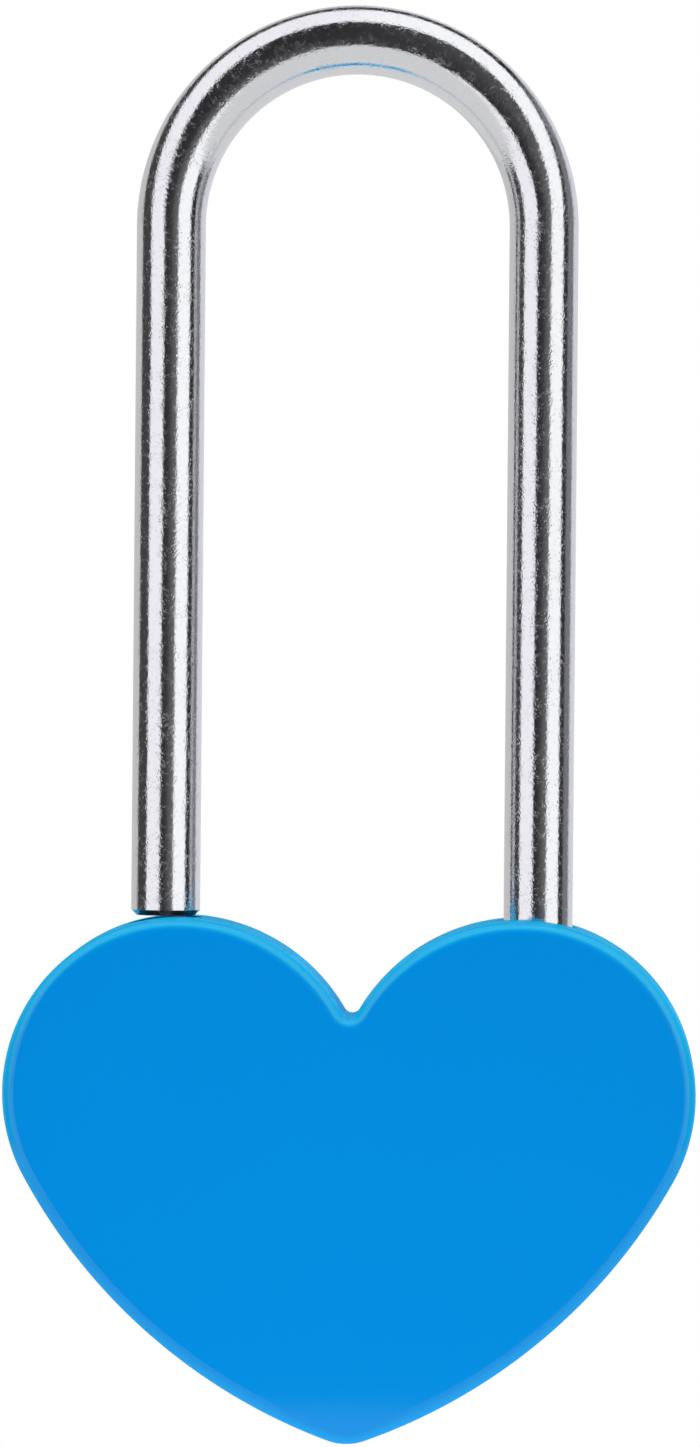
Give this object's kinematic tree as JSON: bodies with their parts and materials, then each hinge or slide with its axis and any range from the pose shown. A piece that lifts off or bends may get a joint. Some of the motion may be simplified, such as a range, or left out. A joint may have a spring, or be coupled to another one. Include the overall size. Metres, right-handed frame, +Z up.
{
  "type": "padlock",
  "caption": "Heart-shaped key padlock with a long round shackle, shown open with the shackle raised over its holes.",
  "frame": {"origin": "lowest point of the heart's tip, in the middle of its thickness", "axes": "+X across the heart towards the heel leg, +Y towards the rear face, +Z up along the shackle's legs"},
  "size_m": [0.04, 0.01, 0.0831],
  "materials": {
    "blue_plastic": "glossy moulded ABS",
    "zinc": "bare zinc die casting",
    "bright_plate": "bright nickel-chrome plate",
    "steel": "plain turned or stamped steel",
    "spring_steel": "drawn wire",
    "brass": "turned brass"
  },
  "bodies": {
    "case": {"front_shell": "blue_plastic", "rear_shell": "blue_plastic", "lock_body": "zinc", "retaining_pin": "steel", "cover_plate": "steel", "cover_screw_1": "steel", "cover_screw_2": "steel", "shackle_spring": "spring_steel", "chamber_cap_1": "brass", "chamber_cap_2": "brass", "chamber_cap_3": "brass", "chamber_cap_4": "brass", "pin_spring_1": "spring_steel", "pin_spring_2": "spring_steel", "pin_spring_3": "spring_steel", "pin_spring_4": "spring_steel"},
    "thrust_cup": {"thrust_cup": "steel"},
    "shackle": {"shackle": "bright_plate"},
    "plug": {"plug": "brass", "plug_clip": "spring_steel", "drive_cam": "steel"},
    "bolt": {"bolt": "steel"},
    "key_pin_1": {"key_pin_1": "brass"},
    "driver_pin_1": {"driver_pin_1": "brass"},
    "key_pin_2": {"key_pin_2": "brass"},
    "driver_pin_2": {"driver_pin_2": "brass"},
    "key_pin_3": {"key_pin_3": "brass"},
    "driver_pin_3": {"driver_pin_3": "brass"},
    "key_pin_4": {"key_pin_4": "brass"},
    "driver_pin_4": {"driver_pin_4": "brass"}
  },
  "joints": [
    {"name": "shackle_slide", "type": "slide", "parent": "case", "child": "thrust_cup", "axis": [0, 0, 1], "range_m": [-0.0065, 0], "stiffness_N_per_m": 200, "springref_m": 0.004, "deforming": ["shackle_spring"]},
    {"name": "shackle_swivel", "type": "hinge", "parent": "thrust_cup", "child": "shackle", "pos_m": [0.0108, 0, 0.0209], "axis": [0, 0, 1], "continuous": true},
    {"name": "plug_turn", "type": "hinge", "parent": "case", "child": "plug", "pos_m": [0, 0, 0.001], "axis": [0, 0, 1], "range_deg": [-90, 0]},
    {"name": "bolt_slide", "type": "slide", "parent": "case", "child": "bolt", "axis": [1, 0, 0], "range_m": [0, 0.0012]},
    {"name": "key_pin_1_slide", "type": "slide", "parent": "plug", "child": "key_pin_1", "axis": [0, 1, 0], "range_m": [0, 0.00155]},
    {"name": "driver_pin_1_slide", "type": "slide", "parent": "case", "child": "driver_pin_1", "axis": [-1, 0, 0], "range_m": [0, 0.0008], "stiffness_N_per_m": 300, "springref_m": -0.001, "deforming": ["pin_spring_1"]},
    {"name": "key_pin_2_slide", "type": "slide", "parent": "plug", "child": "key_pin_2", "axis": [0, 1, 0], "range_m": [0, 0.00095]},
    {"name": "driver_pin_2_slide", "type": "slide", "parent": "case", "child": "driver_pin_2", "axis": [-1, 0, 0], "range_m": [0, 0.0008], "stiffness_N_per_m": 300, "springref_m": -0.001, "deforming": ["pin_spring_2"]},
    {"name": "key_pin_3_slide", "type": "slide", "parent": "plug", "child": "key_pin_3", "axis": [0, 1, 0], "range_m": [0, 0.00125]},
    {"name": "driver_pin_3_slide", "type": "slide", "parent": "case", "child": "driver_pin_3", "axis": [-1, 0, 0], "range_m": [0, 0.0008], "stiffness_N_per_m": 300, "springref_m": -0.001, "deforming": ["pin_spring_3"]},
    {"name": "key_pin_4_slide", "type": "slide", "parent": "plug", "child": "key_pin_4", "axis": [0, 1, 0], "range_m": [0, 0.00065]},
    {"name": "driver_pin_4_slide", "type": "slide", "parent": "case", "child": "driver_pin_4", "axis": [-1, 0, 0], "range_m": [0, 0.0008], "stiffness_N_per_m": 300, "springref_m": -0.001, "deforming": ["pin_spring_4"]}
  ],
  "couplings": [
    {"joint": "plug_turn", "follows": "bolt_slide", "rad_per_m": -1309}
  ]
}
